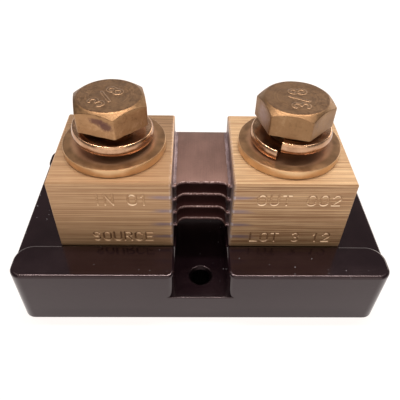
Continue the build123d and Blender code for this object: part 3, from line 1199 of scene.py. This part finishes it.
def slotted_screw(length, head_radius):
    """Head up, with the head's underside on the XY plane."""
    side_top = SCREW_HEAD_HEIGHT - SCREW_HEAD_ROUND
    outline = [(0, 0)]
    outline += arc(head_radius - SCREW_FOOT_ROUND, SCREW_FOOT_ROUND, SCREW_FOOT_ROUND, -90, 0, 3)
    outline += arc(head_radius - SCREW_HEAD_ROUND, side_top, SCREW_HEAD_ROUND, 0, 80, 8)
    outline.append((0, SCREW_HEAD_HEIGHT))
    head = spun(outline, False, 72)
    bmesh.ops.recalc_face_normals(head, faces=head.faces)
    slot = shifted(cuboid((3 * head_radius, SLOT_WIDTH, 2 * SLOT_DEPTH)), (0, 0, SCREW_HEAD_HEIGHT))
    head = carved(head, slot)
    return joined(head, threaded_rod(SCREW_RADIUS, SCREW_PITCH, 0.2, -length, SCREW_TIP_CHAMFER))


def small_spring_washer():
    """A flattened split washer that lies on the XY plane."""
    sizes = (SMALL_WASHER_INNER, SMALL_WASHER_OUTER, 0, SMALL_WASHER_THICKNESS)
    section = rounded_section(*sizes, *SMALL_WASHER_ROUNDS)
    gap = math.degrees(SMALL_WASHER_GAP / SMALL_WASHER_OUTER)
    bm = spun(section, True, 70, 360 - gap)
    return moved(bm, rotation(gap / 2, "Z"))


def make_small_screw(kind, place, bodies, head_radius, rearwards, brass, bronze):
    """A screw and its washer, where their CAD nodes are, with the head rearwards or down."""
    screw_node, washer_node = f"{kind}_screw_{place}", f"{kind}_washer_{place}"
    low, high = box_of(screw_node)
    under_washer, over_washer = box_of(washer_node)
    middle = (low + high) / 2
    extent = high - low
    if rearwards:
        turn = rotation(-90, "X")
        seat = Vector((middle.x, under_washer.y, middle.z))
        length = extent.y - SCREW_HEAD_HEIGHT
    else:
        turn = rotation(180, "X")
        seat = Vector((middle.x, middle.y, over_washer.z))
        length = extent.z - SCREW_HEAD_HEIGHT
    screw = shifted(slotted_screw(length, head_radius), (0, 0, SMALL_WASHER_THICKNESS))
    screw = shifted(moved(screw, turn), seat)
    washer = shifted(moved(small_spring_washer(), turn), seat)
    set_down(f"{kind}_screw_brass_{place}", screw, bodies[0], [brass], [screw_node])
    set_down(f"{kind}_spring_{place}", washer, bodies[1], [bronze], [washer_node])


# Everything in its place
block_finish = brushed_brass()
plate_finish = resistance_alloy()
solder_finish = soft_solder()
small_finishes = (screw_brass(), spring_bronze((0, 0, 0)))
PALENESS = {"left": 1.28, "right": 0.94}
STAINS = {
    "left": [
        ((-20.4, -6.9, 44.1), (2.3, 1.8, 0.9), (0.12, 0.055, 0.05), 0.8),
        ((-19.1, -7.9, 43.3), (1.9, 1.8, 1.2), (0.11, 0.05, 0.05), 0.8),
    ],
    "right": [((11.6, -3.0, 43.0), (1.8, 4.0, 3.0), (0.4, 0.28, 0.27), 0.5)],
}

make_base(moulded_phenolic())
for plate_index in range(PLATES):
    make_plate(plate_index, plate_finish)
for side_name, side_sign in SIDES.items():
    axis = (side_sign * bolt_x, 0, 0)
    make_block(side_name, side_sign, block_finish)
    make_solder(side_name, side_sign, solder_finish, block_finish)
    make_flat_washer(side_name, side_sign, turned_brass(axis))
    make_lock_washer(side_name, side_sign, spring_bronze(axis))
    bronze_name = f"tarnished_bronze_{side_name}"
    bolt_finish = tarnished_bronze(bronze_name, axis, STAINS[side_name], PALENESS[side_name])
    make_bolt(side_name, side_sign, bolt_finish)
    bodies = (f"{side_name}_sense_screw", f"{side_name}_sense_washer")
    make_small_screw("sense", side_name, bodies, SENSE_HEAD_RADIUS, True, *small_finishes)
    for end_name in ENDS:
        corner_name = f"{side_name}_{end_name}"
        bodies = ("root", "root")
        make_small_screw("hold_down", corner_name, bodies, HOLD_DOWN_HEAD_RADIUS, False, *small_finishes)


# --------------------------------------------------------- floor, light, view

# The floor is a glowing table, painted dark under the object as shade
FLOOR_GLOW = 0.96
FLOOR_HALF = 2.0
FLOOR_DROP = 0.00005
FLOOR_SHADE_X = 38.0
FLOOR_SHADE_Y = 19.0
FLOOR_SHADE_EDGE = 2.0
FLOOR_GREYS = [(0.02, 0.02, 0.02), (0.1, 0.1, 0.1)]
GLOW_COLOURS = [(0, 0, 0), (1, 0.94, 0.91)]


def make_floor():
    bm = bmesh.new()
    bmesh.ops.create_grid(bm, x_segments=1, y_segments=1, size=FLOOR_HALF)
    shifted(bm, (0, 0, -FLOOR_DROP))
    mesh = bpy.data.meshes.new("floor")
    bm.to_mesh(mesh)
    bm.free()
    finish = Finish("pale_floor", Roughness=0.9)
    x, y, _ = finish.point()
    across = finish.maths("MAXIMUM", abs(x) - FLOOR_SHADE_X, abs(y) - FLOOR_SHADE_Y)
    clear = finish.step(across, 0.0, FLOOR_SHADE_EDGE)
    finish.feed("Base Color", finish.mix(*FLOOR_GREYS, clear))
    finish.feed("Emission Color", finish.mix(*GLOW_COLOURS, clear))
    finish.feed("Emission Strength", FLOOR_GLOW)
    mesh.materials.append(finish.material)
    new_object("floor", mesh)


# Name, azimuth, elevation, distance, width, height, radiance and colour of each light,
# which faces LIT_PLACE. Azimuth 0 is behind the object, and 90 to its right.
WARM_WHITE = (1.0, 0.93, 0.85)
LIGHTS = [
    ("overhead_softbox", 0, 88, 0.6, 0.85, 0.7, 1.55, WARM_WHITE),
    ("back_wall", 5, 13, 0.6, 1.1, 0.2, 1.4, WARM_WHITE),
    ("right_window", 50, 18, 0.6, 0.3, 0.2, 4.0, (1.0, 0.94, 0.82)),
    ("ceiling_tube", 0, 84, 0.5, 0.5, 0.025, 78.0, (1.0, 0.94, 0.88)),
    ("front_window", 180, 22, 0.6, 0.9, 0.42, 1.3, WARM_WHITE),
]
LIT_PLACE = (0, 0, 0.025)


def make_light(name, azimuth, elevation, distance, width, height, radiance, colour):
    """A soft light that faces the object."""
    data = bpy.data.lights.new(name, "AREA")
    data.shape = "RECTANGLE"
    data.size = width
    data.size_y = height
    data.energy = radiance * math.pi * width * height
    data.color = colour
    light = new_object(name, data)
    around, up = math.radians(azimuth), math.radians(elevation)
    out = Vector((math.sin(around) * math.cos(up), math.cos(around) * math.cos(up), math.sin(up)))
    target = Vector(LIT_PLACE)
    light.location = target + out * distance
    light.rotation_euler = out.to_track_quat("Z", "Y").to_euler()


WORLD_COLOUR = (1.0, 0.92, 0.88, 1)
WORLD_STRENGTH = 0.24


def make_world():
    world = bpy.data.worlds.new("studio")
    world.use_nodes = True
    background = world.node_tree.nodes["Background"]
    background.inputs["Color"].default_value = WORLD_COLOUR
    background.inputs["Strength"].default_value = WORLD_STRENGTH
    bpy.context.scene.world = world


# The camera's place in millimetres, its heading, its drop below level and its roll in
# degrees, and its lens in millimetres
CAMERA_PLACE = (-2.3955, -80.4462, 92.754)
CAMERA_HEADING = 1.61
CAMERA_DROP = 43.244
CAMERA_ROLL = 1.492
CAMERA_LENS = 40.4465


def make_camera():
    data = bpy.data.cameras.new("camera")
    data.lens = CAMERA_LENS
    data.sensor_width = 36.0
    data.clip_start = 0.001
    camera = new_object("camera", data)
    place = Matrix.Translation(Vector(CAMERA_PLACE) * MM)
    heading = rotation(-CAMERA_HEADING, "Z")
    camera.matrix_world = place @ heading @ rotation(90 - CAMERA_DROP, "X") @ rotation(CAMERA_ROLL, "Z")
    bpy.context.scene.camera = camera


make_floor()
for light_facts in LIGHTS:
    make_light(*light_facts)
make_world()
make_camera()
bpy.context.scene.view_settings.view_transform = "Standard"
